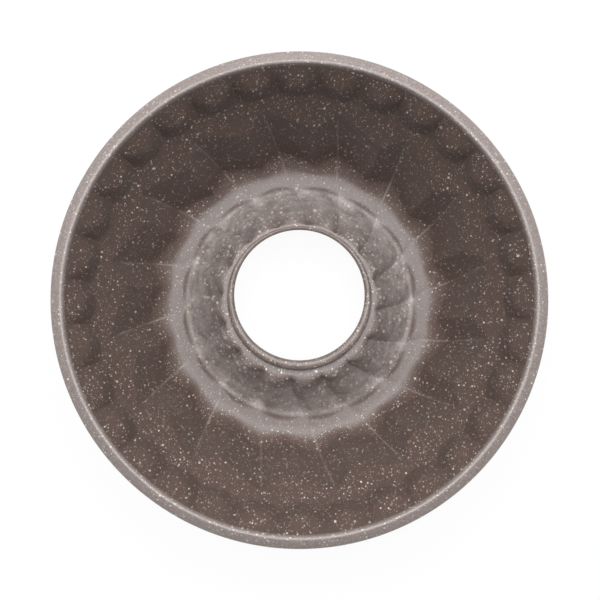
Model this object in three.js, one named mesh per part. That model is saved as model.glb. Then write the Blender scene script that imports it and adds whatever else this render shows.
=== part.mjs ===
// A fluted tube pan of pressed steel: one fluted shell with a wired rim, and a rolled collar in the
// hole of its tube. Millimetres, +Z up, origin in the middle of the base, on the surface it stands on.

import * as THREE from 'three';

const radians = THREE.MathUtils.degToRad;
const mix = THREE.MathUtils.lerp;

// Overall sizes
const rimDiameter = 260; // over the outside of the rolled rim
const panHeight = 105; // from the base to the crown of the rim
const sheetThickness = 0.8;

// Rolled rim: a crown, a sloping apron, and a curl round the wire
const wireDiameter = 3;
const wireClearance = 0.3;
const crownRadius = 1.6; // outer face of the fold at the top of the wall
const apronSlope = 33; // degrees down from level
const curlEndAngle = -170; // degrees, where the curl stops under the wire
const curlGap = 1; // between the end of the curl and the wall

// Gadroon band: a row of rounded lobes under the rim
const gadroonHeight = 32.6; // from the crown of the rim to the lobes' lower ends
const gadroonInset = 13.3; // how far the lower ends stand in from the rim
const gadroonDepth = 2.6; // of the notches between the lower ends
const gadroonBulge = 4.2; // of a lobe past the straight line from its top to its end
const gadroonKnee = 0.5; // share of the way up a lobe where it bulges most
const gadroonsPerFlute = 2;

// Swirled flutes: steep facets between creases and crests, which run out upwards into a plain cone
const fluteCount = 16;
const apexInset = 15.3; // of the crests' upper ends, in from the gadroons
const apexDrop = 22.9; // of the crests' upper ends, down from the gadroons
const crestSlope = 72.2; // degrees up from level
const grooveDepth = 5.1; // of a crease behind the crests beside it
const tubeCreaseDepth = 3.2; // at the top of the tube
const footCreaseDepth = 2.6;

// Degrees of a crease about +Z from +X, on its way down the tube, over the floor and up the wall
const tubeTopAngle = -5.75;
const tubeFootAngle = -0.5;
const floorInnerAngle = 2.4;
const floorOuterAngle = 5.2;
const wallFootAngle = 7.7;
const tipAngle = 11.2;
const wallTopAngle = 11.9;

// Share of a flute's width from a crease to the crest beyond it
const tubeCrestShare = 0.4;
const wallCrestShare = 0.385;
const apexCrestShare = 0.27;
const gadroonShare = 0.5;

// Trough floor between wide rounds; a run is from the floor's edge to where the side would meet the floor
const wallRoundRun = 7.2;
const floorWidth = 3;
const tubeRoundRun = 4.6;
const tubeRoundRise = 8; // how far the round reaches up the side of the tube

// Shoulder at the top of the tube, and the collar in its hole
const shoulderHeight = 40; // from the base to the flat of the shoulder
const shoulderMargin = 1.2; // of flat beyond the narrow side of the bead
const shoulderRun = 3.2; // from the flat out to the tube's lobes
const shoulderDrop = 2;
const boreDiameter = 72.4;
const boreOffset = 3.6; // the hole is punched this far off the middle, along +Y
const beadWidth = 3.7; // of the rolled edge, bore to outside
const beadLean = 0.6; // share by which the roll is wider on one side and narrower on the other
const beadTurn = 300; // degrees from the bore round to the end of the roll
const clinchWidth = 0.8; // of the flange under the shoulder
const collarClearance = 0.3;

// Fineness of the faces
const columnsPerFlute = 8;
const roundSteps = 3;
const curlSteps = 5;
const beadSteps = 8;
const collarSegments = 48;
const wireSides = 8;
const columnCount = fluteCount * columnsPerFlute;

const rimRadius = rimDiameter / 2;
const wireRadius = wireDiameter / 2;
const curlRadius = wireRadius + wireClearance + sheetThickness;
const wallTopRadius = rimRadius - 2 * curlRadius - curlGap - sheetThickness;
const crownCentre = [wallTopRadius + crownRadius, panHeight - crownRadius];
const wireCentre = findWireCentre();

const floorHeight = sheetThickness;
const scallopRadius = wallTopRadius - gadroonInset;
const scallopHeight = panHeight - gadroonHeight;
const apexRadius = scallopRadius - apexInset;
const apexHeight = scallopHeight - apexDrop;
const coneRise = apexDrop / apexInset;
const crestRise = Math.tan(radians(crestSlope));
const wallCornerRadius = apexRadius - (apexHeight - floorHeight) / crestRise;
const floorOuterRadius = wallCornerRadius - wallRoundRun;
const floorInnerRadius = floorOuterRadius - floorWidth;
const tubeCornerRadius = floorInnerRadius - tubeRoundRun;

const boreRadius = boreDiameter / 2;
const sleeveRadius = boreRadius + sheetThickness;
const holeRadius = sleeveRadius + collarClearance;
const narrowBead = mix(beadWidth, sheetThickness, beadLean);
const flatRadius = boreRadius + narrowBead + boreOffset + shoulderMargin;

// The apron touches both the crown and the curl, which fixes how low the wire lies.
function findWireCentre() {
  const slope = radians(apronSlope);
  const reach = rimRadius - curlRadius - crownCentre[0];
  const growth = curlRadius - crownRadius;
  const length = (reach + growth * Math.sin(slope)) / Math.cos(slope);
  const drop = length * Math.sin(slope) + growth * Math.cos(slope);
  return [rimRadius - curlRadius, crownCentre[1] - drop];
}

function onCircle(centre, radius, degrees) {
  const angle = radians(degrees);
  return [centre[0] + radius * Math.cos(angle), centre[1] + radius * Math.sin(angle)];
}

function between(start, end, share) {
  return [mix(start[0], end[0], share), mix(start[1], end[1], share)];
}

function towards(start, end, distance) {
  return between(start, end, distance / Math.hypot(end[0] - start[0], end[1] - start[1]));
}

// A smooth turn that leaves its start towards the corner and arrives at its end from the corner.
function bend(start, corner, end, share) {
  return between(between(start, corner, share), between(corner, end, share), share);
}

// Across one flute, side runs from 0 in a crease past 0.5 on the crest to 1 in the next crease.
// Rounded lobe: 1 in the creases, 0 on the crest.
function lobeShape(side) {
  return (2 * side - 1) ** 2;
}

// Flat facets: 1 in the creases, 0 on the crest.
function facetShape(side) {
  return Math.abs(2 * side - 1);
}

// The middle of a gadroon lies on every crease and half-way between the creases.
function gadroonShape(side) {
  return lobeShape((side * gadroonsPerFlute + 0.5) % 1);
}

function tubeTop(side) {
  return [flatRadius + shoulderRun - tubeCreaseDepth * lobeShape(side), shoulderHeight - shoulderDrop];
}

// Where the sides of the tube and of the wall would meet the floor without their rounds.
function tubeCorner(side) {
  return [tubeCornerRadius - footCreaseDepth * lobeShape(side), floorHeight];
}

function wallCorner(side) {
  return [wallCornerRadius + grooveDepth * facetShape(side), floorHeight];
}

function floorInner(side) {
  return [floorInnerRadius - footCreaseDepth * lobeShape(side), floorHeight];
}

function floorOuter() {
  return [floorOuterRadius, floorHeight];
}

// The facets end where they meet the cone, lowest on the crests and highest in the creases.
function facetTop(side) {
  const rise = (grooveDepth * facetShape(side)) / (1 / coneRise - 1 / crestRise);
  return [apexRadius + rise / coneRise, apexHeight + rise];
}

function tubeRound(side, share) {
  const corner = tubeCorner(side);
  return bend(towards(corner, tubeTop(side), tubeRoundRise), corner, floorInner(side), share);
}

function wallRound(side, share) {
  const corner = wallCorner(side);
  const top = towards(corner, facetTop(side), corner[0] - floorOuterRadius);
  return bend(floorOuter(), corner, top, share);
}

// The lower ends of the gadroons run up the cone at the notches between them.
function gadroonEnd(side) {
  const notch = gadroonDepth * gadroonShape(side);
  return [scallopRadius + notch, scallopHeight + notch * coneRise];
}

// A lobe rises steeply to its knee and leans back from there: 0 at both ends, 1 at the knee.
function kneeShape(climb) {
  return Math.min(climb / gadroonKnee, (1 - climb) / (1 - gadroonKnee));
}

function gadroonLine(side, climb) {
  const low = gadroonEnd(side);
  const run = wallTopRadius - low[0];
  const rise = crownCentre[1] - low[1];
  const swell = gadroonBulge * kneeShape(climb) * (1 - gadroonShape(side));
  const length = Math.hypot(run, rise);
  return [
    low[0] + run * climb - (swell * rise) / length,
    low[1] + rise * climb + (swell * run) / length,
  ];
}

// Each row of the shell gives radius and height across a flute, and how the flute is turned and skewed there.
function shellRows() {
  const rows = [];
  const addRow = (twist, crestShare, at) => rows.push({ twist, crestShare, at });
  const addRim = (centre, radius, degrees) => {
    addRow(wallTopAngle, gadroonShare, () => onCircle(centre, radius, degrees));
  };
  addRow(tubeTopAngle, tubeCrestShare, () => [holeRadius, shoulderHeight]);
  rows[0].offset = boreOffset;
  addRow(tubeTopAngle, tubeCrestShare, () => [flatRadius, shoulderHeight]);
  addRow(tubeTopAngle, tubeCrestShare, tubeTop);
  for (let i = 0; i <= roundSteps; i += 1) {
    const share = i / roundSteps;
    addRow(mix(tubeFootAngle, floorInnerAngle, share), tubeCrestShare, (side) => tubeRound(side, share));
  }
  for (let i = 0; i <= roundSteps; i += 1) {
    const share = i / roundSteps;
    const crestShare = mix(tubeCrestShare, wallCrestShare, share);
    addRow(mix(floorOuterAngle, wallFootAngle, share), crestShare, (side) => wallRound(side, share));
  }
  addRow(tipAngle, apexCrestShare, facetTop);
  for (const climb of [0, gadroonKnee / 2, gadroonKnee, (1 + gadroonKnee) / 2]) {
    addRow(wallTopAngle, gadroonShare, (side) => gadroonLine(side, climb));
  }
  const apronAngle = 90 - apronSlope;
  addRim(crownCentre, crownRadius, 180);
  addRim(crownCentre, crownRadius, 90 + apronAngle / 2);
  addRim(crownCentre, crownRadius, apronAngle);
  for (let i = 0; i <= curlSteps; i += 1) {
    addRim(wireCentre, curlRadius, mix(apronAngle, curlEndAngle, i / curlSteps));
  }
  return rows;
}

// The place of a side in its flute's width, with the crest at the given share of it.
function skewed(side, crestShare) {
  return side < 0.5 ? 2 * side * crestShare : mix(crestShare, 1, 2 * side - 1);
}

// A line of points moved sideways to its right by one distance, with square corners.
function offsetLine(points, distance) {
  const normals = [];
  for (let i = 0; i + 1 < points.length; i += 1) {
    const run = points[i + 1][0] - points[i][0];
    const rise = points[i + 1][1] - points[i][1];
    const length = Math.hypot(run, rise);
    normals.push([rise / length, -run / length]);
  }
  return points.map((point, i) => {
    const before = normals[Math.max(0, i - 1)];
    const after = normals[Math.min(normals.length - 1, i)];
    const sum = [before[0] + after[0], before[1] + after[1]];
    const scale = distance / (1 + before[0] * after[0] + before[1] * after[1]);
    return [point[0] + sum[0] * scale, point[1] + sum[1] * scale];
  });
}

// Both faces of the sheet as one closed loop of points, carried round the axis column by column.
function makeShellGeometry() {
  const rows = shellRows();
  const loopLength = rows.length * 2;
  const positions = [];
  for (let column = 0; column < columnCount; column += 1) {
    const flute = Math.floor(column / columnsPerFlute);
    const side = (column % columnsPerFlute) / columnsPerFlute;
    const cavityFace = rows.map((row) => row.at(side));
    const backFace = offsetLine(cavityFace, sheetThickness);
    const addPoint = (row, [radius, height]) => {
      const angle = ((flute + skewed(side, row.crestShare)) / fluteCount) * 2 * Math.PI + radians(row.twist);
      const offset = row.offset ?? 0;
      positions.push(radius * Math.cos(angle), radius * Math.sin(angle) + offset, height);
    };
    rows.forEach((row, i) => addPoint(row, cavityFace[i]));
    [...rows].reverse().forEach((row, i) => addPoint(row, backFace[rows.length - 1 - i]));
  }
  const index = [];
  for (let column = 0; column < columnCount; column += 1) {
    const here = column * loopLength;
    const next = ((column + 1) % columnCount) * loopLength;
    for (let i = 0; i < loopLength; i += 1) {
      const j = (i + 1) % loopLength;
      index.push(here + i, here + j, next + j, here + i, next + j, next + i);
    }
  }
  const geometry = new THREE.BufferGeometry();
  geometry.setAttribute('position', new THREE.Float32BufferAttribute(positions, 3));
  geometry.setIndex(index);
  geometry.computeVertexNormals();
  return geometry;
}

// Outline of the collar: a flange under the shoulder, a sleeve through its hole, and a rolled bead on top.
function makeCollarGeometry() {
  const flangeHeight = shoulderHeight - sheetThickness - collarClearance;
  const beadRadius = beadWidth / 2;
  const beadCentre = [boreRadius + beadRadius, shoulderHeight + collarClearance + beadRadius];
  const outerFace = [
    [holeRadius + clinchWidth, flangeHeight - sheetThickness],
    [boreRadius, flangeHeight - sheetThickness],
  ];
  for (let i = 0; i <= beadSteps; i += 1) {
    outerFace.push(onCircle(beadCentre, beadRadius, 180 - (beadTurn * i) / beadSteps));
  }
  const innerFace = offsetLine(outerFace, sheetThickness);
  const outline = [...innerFace, ...outerFace.reverse()];
  outline.push(outline[0]);
  const points = outline.map(([radius, height]) => new THREE.Vector2(radius, height));
  const geometry = new THREE.LatheGeometry(points, collarSegments);
  geometry.rotateX(Math.PI / 2);
  leanBead(geometry.attributes.position);
  return geometry;
}

// The roll is wide on one side and narrow on the other, because the hole lies off the middle.
function leanBead(points) {
  const seat = shoulderHeight + collarClearance;
  const place = new THREE.Vector3();
  for (let i = 0; i < points.count; i += 1) {
    place.fromBufferAttribute(points, i);
    if (place.z > shoulderHeight) {
      const radius = Math.hypot(place.x, place.y);
      const width = 1 - (beadLean * place.y) / radius;
      const reach = radius > sleeveRadius ? mix(sleeveRadius, radius, width) : radius;
      const height = mix(sheetThickness / beadWidth, 1, width);
      points.setXYZ(i, (place.x * reach) / radius, (place.y * reach) / radius, mix(seat, place.z, height));
    }
  }
}

function makeWireGeometry() {
  return new THREE.TorusGeometry(wireCentre[0], wireRadius, wireSides, columnCount);
}

function addPiece(group, name, geometry, material) {
  const mesh = new THREE.Mesh(geometry, new THREE.MeshStandardMaterial(material));
  mesh.name = name;
  group.add(mesh);
  return mesh;
}

const coating = { color: 0x6b5c55, roughness: 0.5, metalness: 0.1 };
const bareSteel = { color: 0xa8a8a6, roughness: 0.35, metalness: 0.9 };

const pan = new THREE.Group();
addPiece(pan, 'fluted_shell', makeShellGeometry(), coating);

const collar = addPiece(pan, 'tube_collar', makeCollarGeometry(), coating);
collar.position.y = boreOffset;

const wire = addPiece(pan, 'rim_wire', makeWireGeometry(), bareSteel);
wire.position.z = wireCentre[1];
wire.rotation.z = radians(wallTopAngle);

export default pan;
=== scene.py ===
import math

import bmesh
import bpy
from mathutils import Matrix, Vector


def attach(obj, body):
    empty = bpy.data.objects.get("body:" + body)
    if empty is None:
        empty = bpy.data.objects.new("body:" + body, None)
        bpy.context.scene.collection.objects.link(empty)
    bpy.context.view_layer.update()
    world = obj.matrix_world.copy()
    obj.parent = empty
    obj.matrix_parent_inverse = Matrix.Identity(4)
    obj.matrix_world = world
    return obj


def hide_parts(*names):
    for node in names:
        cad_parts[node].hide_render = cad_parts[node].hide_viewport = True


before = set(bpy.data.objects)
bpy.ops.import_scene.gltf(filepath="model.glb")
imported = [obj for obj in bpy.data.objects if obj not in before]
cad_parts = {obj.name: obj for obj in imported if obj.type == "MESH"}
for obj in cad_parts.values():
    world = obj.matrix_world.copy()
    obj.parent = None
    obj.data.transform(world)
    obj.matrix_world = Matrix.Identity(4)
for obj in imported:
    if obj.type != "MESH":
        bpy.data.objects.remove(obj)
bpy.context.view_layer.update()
mm = 0.001
mergeDistance = 0.0001  # millimetres
print("frame loaded:", sorted(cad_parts))


# Helpers for outlines, all in millimetres as (radius, height)

def mix(a, b, t):
    return a + (b - a) * t


def between(start, end, t):
    return mix(start[0], end[0], t), mix(start[1], end[1], t)


def bend(start, corner, end, t):  # a smooth turn that leaves towards the corner and arrives from it
    return between(between(start, corner, t), between(corner, end, t), t)


def towards(start, end, distance):
    return between(start, end, distance / math.hypot(end[0] - start[0], end[1] - start[1]))


def onCircle(centre, radius, degrees):
    angle = math.radians(degrees)
    return centre[0] + radius * math.cos(angle), centre[1] + radius * math.sin(angle)


def arcPoints(centre, radius, startAngle, endAngle, steps):
    return [onCircle(centre, radius, mix(startAngle, endAngle, i / steps)) for i in range(steps + 1)]


# Helpers for meshes

def spinOutline(bm, steps):
    bmesh.ops.spin(bm, geom=bm.verts[:] + bm.edges[:], cent=(0, 0, 0), axis=(0, 0, 1),
                   angle=2 * math.pi, steps=steps, use_merge=True)


def newPiece(name, bm, material):
    mesh = bpy.data.meshes.new(name)
    bmesh.ops.scale(bm, vec=(mm, mm, mm), verts=bm.verts)
    for face in bm.faces:
        face.smooth = True
    bm.to_mesh(mesh)
    bm.free()
    piece = bpy.data.objects.new(name, mesh)
    piece.data.materials.append(material)
    bpy.context.scene.collection.objects.link(piece)
    return piece


# Helpers for materials

noiseSwing = (0.3, 0.7)  # nearly all of a noise texture lies between these


def addNode(tree, kind, settings=None, **inputs):  # i0, i1 and so on are inputs by number
    node = tree.nodes.new("ShaderNode" + kind)
    for key, value in (settings or {}).items():
        setattr(node, key, value)
    for key, value in inputs.items():
        byNumber = key[0] == "i" and key[1:].isdigit()
        socket = node.inputs[int(key[1:]) if byNumber else key]
        if isinstance(value, bpy.types.NodeSocket):
            tree.links.new(value, socket)
        else:
            socket.default_value = value
    return node


def newMaterial(name):
    material = bpy.data.materials.new(name)
    material.use_nodes = True
    tree = material.node_tree
    return material, tree, tree.nodes["Principled BSDF"]


def mathNode(tree, operation, first, second):
    return addNode(tree, "Math", {"operation": operation}, i0=first, i1=second).outputs[0]


def product(tree, first, *others):
    for other in others:
        first = mathNode(tree, "MULTIPLY", first, other)
    return first


def vectorNode(tree, operation, **inputs):
    return addNode(tree, "VectorMath", {"operation": operation}, **inputs).outputs[0]


def mixColour(tree, share, first, second):
    node = addNode(tree, "Mix", {"data_type": "RGBA"}, i0=share, i6=first, i7=second)
    return node.outputs[2]


def remap(tree, value, start, end, first, last):  # from first at start to last at end, and level beyond
    return addNode(tree, "MapRange", i0=value, i1=start, i2=end, i3=first, i4=last).outputs[0]


def smoothStep(tree, value, start, end, first, last):  # the same, eased at both ends
    node = addNode(tree, "MapRange", {"interpolation_type": "SMOOTHSTEP"},
                   i0=value, i1=start, i2=end, i3=first, i4=last)
    return node.outputs[0]


def noiseValue(tree, coords, scale, detail=2):
    return addNode(tree, "TexNoise", Vector=coords, Scale=scale, Detail=detail).outputs["Fac"]


def uneven(tree, coords, scale, limits):  # a soft noise between two limits
    return remap(tree, noiseValue(tree, coords, scale), *noiseSwing, *limits)


# Speckled non-stick coating

coating = dict(  # metres, and scales per metre; an edge is two radii between which something changes
    dark=(0.091, 0.0625, 0.053, 1),  # brown taupe ground
    light=(0.115, 0.079, 0.067, 1),
    speck=(0.66, 0.59, 0.535, 1),  # off-white grains in the lacquer
    paintedSheen=(0.465, 0.419, 0.402, 1),  # painted sheen: a pale neutral on the tube, collar and rim where the lamps leave them too dark
    creaseHighlight=(0.50, 0.45, 0.41, 1),  # painted highlight: bright lines along the creases of the wall
    cloudScale=38,
    grainScale=1400, grainSwing=(0.25, 0.75), grainShade=(0.72, 1.25),  # the noise and the shade it gives
    roughness=(0.32, 0.44),
    bump=0.12, bumpDistance=0.0003, speckHeight=0.5,  # a speck's height against the ground's grain
    specks=(  # cells per metre, grain radius in cells, and how many times as large on the tube
        (208, 0.138, 1.75), (330, 0.174, 1.65), (455, 0.188, 1.45), (640, 0.18, 1.15), (900, 0.185, 0.7),
    ),
    grainSizes=(0.65, 1.3), grainTones=(0.2, 1.0),  # smallest and largest share
    faintness=1.7,  # above 1, most grains are faint
    fall=0.36,  # the spray falls from above, so grains are drawn out down the steep sides
    softEdge=0.6,  # share of a grain's radius where its edge begins to fade
    wobble=0.0004, strayScale=900,  # how far a grain's edge strays
    floorFade=0.55, floorStart=(0.062, 0.067), floorEnd=(0.074, 0.082),  # fainter grains on the floor
    tubeSheen=0.71, tubeEdge=(0.0602, 0.0678),  # share of painted sheen on the tube, and where it ends
    shoulderSheen=0.285, shoulderEdge=(0.042, 0.047),  # how much of that painted sheen lies on the shoulder
    flankSheen=0.48, flankEdge=(0.046, 0.062),  # how much of the painted sheen is left at the top of the tube's side
    footHighlight=0.31, footRing=(0.0620, 0.0643, 0.0666),  # a painted highlight in a ring round the foot of the tube
    collarSheen=1.6, collarEdge=(0.1, 0.5),  # painted sheen on the collar against the shoulder's; mm above the shoulder
    patchScale=130, patches=(0.6, 1.4), sprayScale=620, spray=(0.87, 1.13),  # how unevenly the painted sheen lies
    rimSheen=0.38, rimEdge=(0.1221, 0.1231),  # share of painted sheen on the rim, and where it begins
    creaseGlint=0.32, creaseWidth=0.0009, glintScale=110,  # how bright the painted highlight lines are, and how wide to each side
    creaseRadii=(0.0716, 0.0863, 0.1044),  # of a crease at the floor, above the wall's foot and at the cone
    creaseReach=((0.070, 0.078), (0.098, 0.105)),  # where the painted highlight lines begin and end
)


def axisRadius(tree, coords):
    place = addNode(tree, "SeparateXYZ", Vector=coords)
    level = addNode(tree, "CombineXYZ", X=place.outputs["X"], Y=place.outputs["Y"]).outputs[0]
    return addNode(tree, "VectorMath", {"operation": "LENGTH"}, i0=level).outputs["Value"]


# Painted sheen: a lighter, paler colour on the tube, shoulder, collar and rim, plus a painted highlight
# ring round the tube's foot
def paintedSheenMask(tree, coords, fallen, radius):
    onTube = product(
        tree,
        smoothStep(tree, radius, *coating["tubeEdge"], coating["tubeSheen"], 0.0),
        smoothStep(tree, radius, *coating["shoulderEdge"], coating["shoulderSheen"], 1.0),
        smoothStep(tree, radius, *coating["flankEdge"], coating["flankSheen"], 1.0),
    )
    # the painted highlight ring round the tube's foot
    begin, middle, end = coating["footRing"]
    paintedFootHighlight = product(
        tree,
        smoothStep(tree, radius, begin, middle, 0.0, coating["footHighlight"]),
        smoothStep(tree, radius, middle, end, 1.0, 0.0),
    )
    height = addNode(tree, "SeparateXYZ", Vector=coords).outputs["Z"]
    collarEdge = [(shell["shoulderHeight"] + rise) * mm for rise in coating["collarEdge"]]
    onTube = product(
        tree,
        mathNode(tree, "ADD", onTube, paintedFootHighlight),
        uneven(tree, coords, coating["patchScale"], coating["patches"]),
        smoothStep(tree, height, *collarEdge, 1.0, coating["collarSheen"]),
    )
    onRim = smoothStep(tree, radius, *coating["rimEdge"], 0.0, coating["rimSheen"])
    spray = uneven(tree, fallen, coating["sprayScale"], coating["spray"])
    return product(tree, mathNode(tree, "MAXIMUM", onTube, onRim), spray)


def grainMask(tree, coords, scale, grainRadius, growth):  # grains of one size
    cells = addNode(tree, "TexVoronoi", Vector=coords, Scale=scale)
    chance = addNode(tree, "SeparateColor", Color=cells.outputs["Color"])
    small, large = coating["grainSizes"]
    size = remap(tree, chance.outputs["Green"], 0.0, 1.0, grainRadius * small, grainRadius * large)
    outer = product(tree, size, growth)
    inner = product(tree, outer, coating["softEdge"])
    grain = smoothStep(tree, cells.outputs["Distance"], inner, outer, 1.0, 0.0)
    bright = mathNode(tree, "POWER", chance.outputs["Red"], coating["faintness"])
    return product(tree, grain, remap(tree, bright, 0.0, 1.0, *coating["grainTones"]))


def speckMask(tree, coords, fallen, radius):
    stray = addNode(tree, "TexNoise", Vector=coords, Scale=coating["strayScale"], Detail=2).outputs["Color"]
    stray = vectorNode(tree, "SCALE", i0=stray, Scale=coating["wobble"])
    strayed = vectorNode(tree, "ADD", i0=fallen, i1=stray)
    onTube = product(
        tree,
        smoothStep(tree, radius, *coating["tubeEdge"], 1.0, 0.0),
        smoothStep(tree, radius, *coating["shoulderEdge"], 0.0, 1.0),
    )
    onFloor = product(
        tree,
        smoothStep(tree, radius, *coating["floorStart"], 0.0, 1.0),
        smoothStep(tree, radius, *coating["floorEnd"], 1.0, 0.0),
    )
    specks = 0.0
    for scale, grainRadius, tubeGrowth in coating["specks"]:
        growth = remap(tree, onTube, 0.0, 1.0, 1.0, tubeGrowth)
        specks = mathNode(tree, "MAXIMUM", specks, grainMask(tree, strayed, scale, grainRadius, growth))
    return product(tree, specks, remap(tree, onFloor, 0.0, 1.0, 1.0, coating["floorFade"]))


def creaseHighlightMask(tree, coords, radius):  # painted highlight lines along the creases of the wall
    place = addNode(tree, "SeparateXYZ", Vector=coords)
    turn = mathNode(tree, "ARCTAN2", place.outputs["Y"], place.outputs["X"])
    radii = coating["creaseRadii"]
    angles = [math.radians(shell[key]) for key in ("outerAngle", "wallFootAngle", "tipAngle")]
    for i in range(len(radii) - 1):
        turned = remap(tree, radius, radii[i], radii[i + 1], 0.0, angles[i + 1] - angles[i])
        turn = mathNode(tree, "SUBTRACT", turn, turned)
    turn = mathNode(tree, "SUBTRACT", turn, angles[0])
    half = math.pi / shell["flutes"]
    turn = addNode(tree, "Math", {"operation": "WRAP"}, i0=turn, i1=half, i2=-half).outputs[0]
    distance = product(tree, mathNode(tree, "ABSOLUTE", turn, 0.0), radius)
    begun, ended = coating["creaseReach"]
    return product(
        tree,
        smoothStep(tree, distance, 0.0, coating["creaseWidth"], 1.0, 0.0),
        smoothStep(tree, radius, *begun, 0.0, 1.0),
        smoothStep(tree, radius, *ended, 1.0, 0.0),
        uneven(tree, coords, coating["glintScale"], (0.0, coating["creaseGlint"])),
    )


def makeCoating():
    material, tree, shader = newMaterial("speckledCoating")
    coords = addNode(tree, "TexCoord").outputs["Object"]
    radius = axisRadius(tree, coords)
    fallen = vectorNode(tree, "MULTIPLY", i0=coords, i1=(1, 1, coating["fall"]))
    cloud = noiseValue(tree, coords, coating["cloudScale"], detail=5)
    grain = noiseValue(tree, coords, coating["grainScale"], detail=3)
    specks = speckMask(tree, coords, fallen, radius)

    ground = mixColour(tree, cloud, coating["dark"], coating["light"])
    # painted sheen laid over the ground colour
    ground = mixColour(tree, paintedSheenMask(tree, coords, fallen, radius), ground, coating["paintedSheen"])
    shade = remap(tree, grain, *coating["grainSwing"], *coating["grainShade"])
    ground = vectorNode(tree, "SCALE", i0=ground, Scale=shade)
    # painted highlight lines along the creases
    ground = mixColour(tree, creaseHighlightMask(tree, coords, radius), ground, coating["creaseHighlight"])
    tree.links.new(mixColour(tree, specks, ground, coating["speck"]), shader.inputs["Base Color"])

    rough = remap(tree, grain, *noiseSwing, *coating["roughness"])
    tree.links.new(rough, shader.inputs["Roughness"])
    height = mathNode(tree, "ADD", grain, product(tree, specks, coating["speckHeight"]))
    bump = addNode(tree, "Bump", Strength=coating["bump"], Distance=coating["bumpDistance"], Height=height)
    tree.links.new(bump.outputs["Normal"], shader.inputs["Normal"])
    return material


# Fluted shell: a plain spun sheet that is then pressed into gadroons and swirled flutes

shell = dict(  # millimetres and degrees, on the face that looks into the cavity
    rimRadius=130.0, panHeight=105.0, sheet=0.8,
    wireRadius=1.5, wireClearance=0.3, crownRadius=1.6, apronSlope=33.0, curlEnd=-170.0, curlGap=1.0,
    gadroonHeight=32.6, gadroonInset=13.3, gadroonDepth=2.6, gadroonsPerFlute=2,
    gadroonBulge=4.2, gadroonKnee=0.5, kneeRound=0.3,  # steep below the knee, leaning back above it
    flutes=16, columnsPerFlute=28,
    apexRadius=94.4, apexHeight=49.5, crestSlope=72.2,  # where the crests run out into the cone
    grooveDepth=5.1, tubeCrease=3.2, footCrease=2.6, floorGroove=0.15, grooveWidth=0.2,
    floorInner=68.6, floorOuter=71.6, tubeCorner=64.0, tubeRound=8.0,
    tubeTopAngle=-5.75, tubeFootAngle=-0.5, innerAngle=2.4, outerAngle=5.2,  # of a crease, on its way
    wallFootAngle=7.7, tipAngle=11.2, wallTopAngle=11.9,
    tubeCrest=0.40, wallCrest=0.385, apexCrest=0.27, rimCrest=0.5,  # share of a flute from crease to crest
    shoulderHeight=40.0, flatRadius=43.0, shoulderRun=3.2, shoulderDrop=2.0,
    shoulderBend=3.0, shoulderEase=0.5,  # how far the shoulder's bend reaches down, and how far it cuts in
    holeRadius=37.3, boreOffset=3.6,
    creaseRound=0.05,  # share of a facet over which its edges are rounded
    gather=0.6,  # how strongly the columns crowd to the creases, crests and notches
)

curlRadius = shell["wireRadius"] + shell["wireClearance"] + shell["sheet"]
wallTopRadius = shell["rimRadius"] - 2 * curlRadius - shell["curlGap"] - shell["sheet"]
crownCentre = (wallTopRadius + shell["crownRadius"], shell["panHeight"] - shell["crownRadius"])
apronAngle = 90 - shell["apronSlope"]  # at which the sheet leaves the crown and meets the curl
floorHeight = shell["sheet"]
scallopRadius = wallTopRadius - shell["gadroonInset"]
scallopHeight = shell["panHeight"] - shell["gadroonHeight"]
crestRise = math.tan(math.radians(shell["crestSlope"]))
coneRise = (scallopHeight - shell["apexHeight"]) / (scallopRadius - shell["apexRadius"])


def wireCentre():
    slope = math.radians(shell["apronSlope"])
    centreRadius = shell["rimRadius"] - curlRadius
    growth = curlRadius - shell["crownRadius"]
    length = (centreRadius - crownCentre[0] + growth * math.sin(slope)) / math.cos(slope)
    return centreRadius, crownCentre[1] - length * math.sin(slope) - growth * math.cos(slope)


# A flute runs from crease to crease; side goes from 0 in one crease past the crest to 1 in the next

crestSide = 0.5


def lobe(side):  # 1 in the creases, 0 on the crest
    return (2 * side - 1) ** 2


def fromCrease(side):  # 0 in the creases, 1 on the crest
    return 2 * min(side, 1 - side)


def facet(side):  # 1 in the creases, 0 on the crest, flat between, a little rounded at both ends
    soft = shell["creaseRound"]
    low = math.hypot(fromCrease(side), soft) - soft
    high = math.hypot(1 - fromCrease(side), soft) - soft
    return high / (low + high)


def gadroon(side):  # 0 above creases and crests, where the gadroons stand, 1 in the notches between them
    return lobe((side * shell["gadroonsPerFlute"] + crestSide) % 1)


def knee(t):  # 0 at both ends of a gadroon, nearly 1 at its rounded knee
    rising, falling = t / shell["gadroonKnee"], (1 - t) / (1 - shell["gadroonKnee"])
    return (rising + falling - math.hypot(rising - falling, shell["kneeRound"])) / 2


def gathered(side):
    waves = 2 * shell["gadroonsPerFlute"] * 2 * math.pi
    return side - shell["gather"] * math.sin(waves * side) / waves


def swung(side, crest, twist):  # degrees round the axis
    share = 2 * side * crest if side < crestSide else crest + (2 * side - 1) * (1 - crest)
    return twist + share * 360 / shell["flutes"]


def swungAtRim(side):
    return swung(side, shell["rimCrest"], shell["wallTopAngle"])


def floorAt(side):  # a little lower in the creases
    rise = 1 - math.exp(-(fromCrease(side) / shell["grooveWidth"]) ** 2)
    return floorHeight + shell["floorGroove"] * rise


def tubeTop(side):  # the upper end of the tube's side, if the shoulder had no bend
    dip = shell["tubeCrease"] * lobe(side)
    return shell["flatRadius"] + shell["shoulderRun"] - dip, shell["shoulderHeight"] - shell["shoulderDrop"]


def tubeCorner(side):  # where the tube's side would meet the floor without a round
    return shell["tubeCorner"] - shell["footCrease"] * lobe(side), floorAt(side)


def wallCorner(side):  # the same for the wall
    crest = shell["apexRadius"] - (shell["apexHeight"] - floorAt(side)) / crestRise
    return crest + shell["grooveDepth"] * facet(side), floorAt(side)


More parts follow.
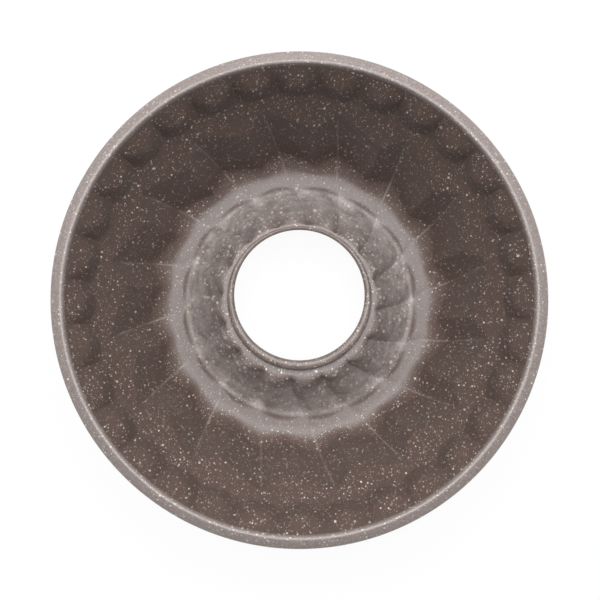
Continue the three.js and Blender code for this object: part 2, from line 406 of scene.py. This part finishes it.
def facetTop(side):  # where the flutes run out into the cone
    rise = shell["grooveDepth"] * facet(side) / (1 / coneRise - 1 / crestRise)
    return shell["apexRadius"] + rise / coneRise, shell["apexHeight"] + rise


def tubeSideTop(side):
    return towards(tubeTop(side), tubeCorner(side), shell["shoulderBend"])


def tubeFootTop(side):
    return towards(tubeCorner(side), tubeTop(side), shell["tubeRound"])


def wallFootTop(side):
    corner = wallCorner(side)
    return towards(corner, facetTop(side), corner[0] - shell["floorOuter"])


def scallopEnd(side):  # the lower edge of the gadroons
    notch = shell["gadroonDepth"] * gadroon(side)
    return scallopRadius + notch, scallopHeight + notch * coneRise


def innerEdge(side):  # of the flat floor
    return shell["floorInner"] - shell["footCrease"] * lobe(side), floorAt(side)


def outerEdge(side):
    return shell["floorOuter"], floorAt(side)


# A press gives a place on the outline and a turn round the axis; t goes from 0 to 1 along its stretch

def pressShoulder(t, side):
    radius = mix(shell["holeRadius"], shell["flatRadius"], t)
    return (radius, shell["shoulderHeight"]), swung(side, shell["tubeCrest"], shell["tubeTopAngle"])


def pressTubeTop(t, side):
    flat = (shell["flatRadius"], shell["shoulderHeight"])
    corner = (tubeTop(side)[0] - shell["shoulderEase"], shell["shoulderHeight"] - shell["shoulderEase"])
    place = bend(flat, corner, tubeSideTop(side), t)
    return place, swung(side, shell["tubeCrest"], shell["tubeTopAngle"])


def pressTube(t, side):
    twist = mix(shell["tubeTopAngle"], shell["tubeFootAngle"], t)
    return between(tubeSideTop(side), tubeFootTop(side), t), swung(side, shell["tubeCrest"], twist)


def pressTubeFoot(t, side):
    place = bend(tubeFootTop(side), tubeCorner(side), innerEdge(side), t)
    return place, swung(side, shell["tubeCrest"], mix(shell["tubeFootAngle"], shell["innerAngle"], t))


def pressFloor(t, side):
    twist = mix(shell["innerAngle"], shell["outerAngle"], t)
    return between(innerEdge(side), outerEdge(side), t), swung(side, shell["tubeCrest"], twist)


def pressWallFoot(t, side):
    place = bend(outerEdge(side), wallCorner(side), wallFootTop(side), t)
    crest = mix(shell["tubeCrest"], shell["wallCrest"], t)
    return place, swung(side, crest, mix(shell["outerAngle"], shell["wallFootAngle"], t))


def pressFacets(t, side):
    crest = mix(shell["wallCrest"], shell["apexCrest"], t)
    twist = mix(shell["wallFootAngle"], shell["tipAngle"], t)
    return between(wallFootTop(side), facetTop(side), t), swung(side, crest, twist)


def pressCone(t, side):
    crest = mix(shell["apexCrest"], shell["rimCrest"], t)
    twist = mix(shell["tipAngle"], shell["wallTopAngle"], t)
    return between(facetTop(side), scallopEnd(side), t), swung(side, crest, twist)


def pressBand(t, side):
    low = scallopEnd(side)
    run, rise = wallTopRadius - low[0], crownCentre[1] - low[1]
    swell = shell["gadroonBulge"] * knee(t) * (1 - gadroon(side)) / math.hypot(run, rise)
    place = (low[0] + run * t - swell * rise, low[1] + rise * t + swell * run)
    return place, swungAtRim(side)


def pressCrown(t, side):
    return onCircle(crownCentre, shell["crownRadius"], mix(180, apronAngle, t)), swungAtRim(side)


def pressApron(t, side):
    start = onCircle(crownCentre, shell["crownRadius"], apronAngle)
    end = onCircle(wireCentre(), curlRadius, apronAngle)
    return between(start, end, t), swungAtRim(side)


def pressCurl(t, side):
    return onCircle(wireCentre(), curlRadius, mix(apronAngle, shell["curlEnd"], t)), swungAtRim(side)


presses = (  # each stretch of the sheet from the hole to the curl, and its number of rows
    (pressShoulder, 4), (pressTubeTop, 6), (pressTube, 13), (pressTubeFoot, 9), (pressFloor, 4),
    (pressWallFoot, 10), (pressFacets, 13), (pressCone, 9), (pressBand, 15), (pressCrown, 6),
    (pressApron, 2), (pressCurl, 10),
)


def drawOutline(bm):  # over a crest; each point keeps its stretch and how far along it lies
    stretch = bm.verts.layers.int.new("stretch")
    along = bm.verts.layers.float.new("along")
    last = None
    for number, (press, rows) in enumerate(presses):
        for i in range(0 if last is None else 1, rows + 1):
            radius, height = press(i / rows, crestSide)[0]
            vert = bm.verts.new((radius, 0, height))
            vert[stretch] = number
            vert[along] = i / rows
            if last:
                bm.edges.new((last, vert))
            last = vert


def pressFlutes(bm, columns):
    stretch = bm.verts.layers.int["stretch"]
    along = bm.verts.layers.float["along"]
    for vert in bm.verts:
        column = round(math.atan2(vert.co.y, vert.co.x) / (2 * math.pi) * columns) % columns
        flute, step = divmod(column, shell["columnsPerFlute"])
        side = gathered(step / shell["columnsPerFlute"])
        press = presses[vert[stretch]][0]
        (radius, height), turn = press(vert[along], side)
        angle = math.radians(turn + flute * 360 / shell["flutes"])
        shift = shell["boreOffset"] * (1 - vert[along]) if press is pressShoulder else 0
        vert.co = (radius * math.cos(angle), radius * math.sin(angle) + shift, height)


def makeShell():
    columns = shell["flutes"] * shell["columnsPerFlute"]
    bm = bmesh.new()
    drawOutline(bm)
    spinOutline(bm, columns)
    pressFlutes(bm, columns)
    bmesh.ops.remove_doubles(bm, verts=bm.verts, dist=mergeDistance)
    bmesh.ops.recalc_face_normals(bm, faces=bm.faces)
    floorFace = min(bm.faces, key=lambda face: face.calc_center_median().z)
    if floorFace.normal.z < 0:  # the cavity face looks up
        bmesh.ops.reverse_faces(bm, faces=bm.faces)
    piece = newPiece("flutedShell", bm, speckledCoating)
    wallModifier = piece.modifiers.new("sheet", "SOLIDIFY")
    wallModifier.thickness = shell["sheet"] * mm
    wallModifier.offset = -1
    wallModifier.use_even_offset = True
    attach(piece, "root")
    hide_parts("fluted_shell")
    print("shell pressed:", len(piece.data.vertices), "points")


speckledCoating = makeCoating()
print("coating made")
makeShell()


# Rolled collar in the hole of the tube

collar = dict(  # millimetres
    bead=3.7, rollTurn=300.0, lean=0.6,  # the bead's width, its turn in degrees, and its unevenness
    clinch=0.8, clinchRound=1.0, clearance=0.3,
    segments=160, clinchSteps=5, outerSteps=28, innerSteps=22,
)
sleeveRadius = shell["holeRadius"] - collar["clearance"]
boreRadius = sleeveRadius - shell["sheet"]


def leaned(place):  # the roll is wide on one side and narrow on the other, as the hole is off the middle
    seat = shell["shoulderHeight"] + collar["clearance"]
    radius = math.hypot(place.x, place.y)
    width = 1 - collar["lean"] * place.y / radius
    height = mix(shell["sheet"] / collar["bead"], 1, width)
    reach = sleeveRadius + (radius - sleeveRadius) * width if radius > sleeveRadius else radius
    return Vector((place.x * reach / radius, place.y * reach / radius, seat + (place.z - seat) * height))


def collarOutline():
    sheet, clinchRound = shell["sheet"], collar["clinchRound"]
    beadRadius = collar["bead"] / 2
    centre = (boreRadius + beadRadius, shell["shoulderHeight"] + collar["clearance"] + beadRadius)
    under = shell["shoulderHeight"] - sheet - collar["clearance"]
    edge = shell["holeRadius"] + collar["clinch"]
    end = 180 - collar["rollTurn"]
    clinchCentre = (boreRadius + clinchRound, under - sheet + clinchRound)
    outside = [(edge, under - sheet)]
    outside += arcPoints(clinchCentre, clinchRound, 270, 180, collar["clinchSteps"])
    outside += arcPoints(centre, beadRadius, 180, end, collar["outerSteps"])
    inside = arcPoints(centre, beadRadius - sheet, end, 180, collar["innerSteps"])
    inside += [(sleeveRadius, under), (edge, under)]
    return outside + inside


def makeCollar():
    bm = bmesh.new()
    verts = [bm.verts.new((radius, 0, height)) for radius, height in collarOutline()]
    for i, vert in enumerate(verts):
        bm.edges.new((verts[i - 1], vert))
    spinOutline(bm, collar["segments"])
    bmesh.ops.remove_doubles(bm, verts=bm.verts, dist=mergeDistance)
    for vert in bm.verts:
        if vert.co.z > shell["shoulderHeight"]:
            vert.co = leaned(vert.co)
    bmesh.ops.recalc_face_normals(bm, faces=bm.faces)
    bmesh.ops.translate(bm, vec=(0, shell["boreOffset"], 0), verts=bm.verts)
    piece = newPiece("tubeCollar", bm, speckledCoating)
    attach(piece, "root")
    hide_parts("tube_collar")
    print("collar rolled:", len(piece.data.vertices), "points")


makeCollar()


# Bare steel of the wire in the rim

wireSteel = dict(
    bright=(0.45, 0.44, 0.42, 1), dull=(0.315, 0.308, 0.294, 1),
    drawnScale=600, roughness=(0.28, 0.45),
)


def makeWireSteel():
    material, tree, shader = newMaterial("drawnWire")
    coords = addNode(tree, "TexCoord").outputs["Object"]
    lines = noiseValue(tree, coords, wireSteel["drawnScale"], detail=4)
    shader.inputs["Metallic"].default_value = 1.0
    colour = mixColour(tree, lines, wireSteel["dull"], wireSteel["bright"])
    tree.links.new(colour, shader.inputs["Base Color"])
    rough = remap(tree, lines, *noiseSwing, *wireSteel["roughness"])
    tree.links.new(rough, shader.inputs["Roughness"])
    return material


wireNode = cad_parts["rim_wire"]
wireNode.data.materials.clear()
wireNode.data.materials.append(makeWireSteel())
print("wire dressed")


# Floor, light and camera

studio = dict(  # metres, watts, and degrees about +Z and up from level
    floorSize=6.0, floorColour=(0.86, 0.86, 0.86, 1), floorRoughness=0.9,
    floorGlow=0.94,  # how much of the floor that the camera sees is plain white
    worldLight=0.0,  # the lamps give all the light
    overheadHeight=1.9, overheadSize=1.5,
    overheads=((0.1, 29.0), (0.75, 22.0)),  # distance towards the back, and power
    boxDistance=1.7, boxSize=1.0,  # softboxes from behind, aimed at the rim
    boxes=((30, 45, 8.3), (90, 20, 4.5), (150, 45, 8.3)),  # azimuth, elevation and power
)
view = dict(
    distance=0.95, sideStep=0.017,  # metres above the rim, and towards the bottom of the picture
    sensorWidth=36,  # millimetres
    framePixels=600, rimPixels=248.9, rimCentre=(299.4, 299.6),  # the rim's radius and place in the picture
)


def makeFloor():
    bm = bmesh.new()
    bmesh.ops.create_grid(bm, x_segments=1, y_segments=1, size=studio["floorSize"] / 2)
    mesh = bpy.data.meshes.new("floor")
    bm.to_mesh(mesh)
    bm.free()
    floor = bpy.data.objects.new("floor", mesh)
    bpy.context.scene.collection.objects.link(floor)
    material, tree, shader = newMaterial("paleFloor")
    shader.inputs["Base Color"].default_value = studio["floorColour"]
    shader.inputs["Roughness"].default_value = studio["floorRoughness"]
    glow = addNode(tree, "Emission", Strength=1.0)
    path = addNode(tree, "LightPath")
    seen = mathNode(tree, "MAXIMUM", path.outputs["Is Camera Ray"], path.outputs["Is Glossy Ray"])
    seen = mathNode(tree, "MAXIMUM", seen, path.outputs["Is Transmission Ray"])
    share = product(tree, seen, studio["floorGlow"])
    blend = addNode(tree, "MixShader", i0=share, i1=shader.outputs[0], i2=glow.outputs[0])
    tree.links.new(blend.outputs[0], tree.nodes["Material Output"].inputs["Surface"])
    floor.data.materials.append(material)


def makeLight(name, place, size, power, target):
    lamp = bpy.data.lights.new(name, "AREA")
    lamp.shape = "DISK"
    lamp.size = size
    lamp.energy = power
    light = bpy.data.objects.new(name, lamp)
    light.location = place
    light.rotation_euler = (Vector(target) - Vector(place)).to_track_quat("-Z", "Y").to_euler()
    bpy.context.scene.collection.objects.link(light)


def makeLights():
    target = (0, 0, shell["panHeight"] * mm)
    for back, power in studio["overheads"]:
        place = (0, back, studio["overheadHeight"])
        makeLight("overheadSoftbox", place, studio["overheadSize"], power, target)
    for azimuth, elevation, power in studio["boxes"]:
        reach, rise = onCircle((0, target[2]), studio["boxDistance"], elevation)
        place = (*onCircle((0, 0), reach, azimuth), rise)
        makeLight("sideSoftbox", place, studio["boxSize"], power, target)


def makeCamera():
    rimHeight = wireCentre()[1] * mm
    target = Vector((0, 0, rimHeight))
    camera = bpy.data.objects.new("camera", bpy.data.cameras.new("camera"))
    camera.location = (0, -view["sideStep"], rimHeight + view["distance"])
    away = target - camera.location
    camera.rotation_euler = away.to_track_quat("-Z", "Y").to_euler()
    halfFrame = shell["rimRadius"] * mm * view["framePixels"] / 2 / view["rimPixels"]
    camera.data.sensor_width = view["sensorWidth"]
    camera.data.lens = view["sensorWidth"] / 2 * away.length / halfFrame
    camera.data.shift_x = (view["framePixels"] / 2 - view["rimCentre"][0]) / view["framePixels"]
    camera.data.shift_y = (view["rimCentre"][1] - view["framePixels"] / 2) / view["framePixels"]
    bpy.context.scene.collection.objects.link(camera)
    bpy.context.scene.camera = camera


def makeWorld():
    world = bpy.data.worlds.new("softRoom")
    bpy.context.scene.world = world
    world.use_nodes = True
    tree = world.node_tree
    background = tree.nodes["Background"]
    background.inputs["Color"].default_value = (1, 1, 1, 1)
    path = addNode(tree, "LightPath")
    seen = mathNode(tree, "MAXIMUM", path.outputs["Is Camera Ray"], path.outputs["Is Transmission Ray"])
    strength = remap(tree, seen, 0.0, 1.0, studio["worldLight"], 1.0)
    tree.links.new(strength, background.inputs["Strength"])


makeFloor()
makeWorld()
makeLights()
makeCamera()
bpy.context.scene.view_settings.view_transform = "Standard"
print("studio set")
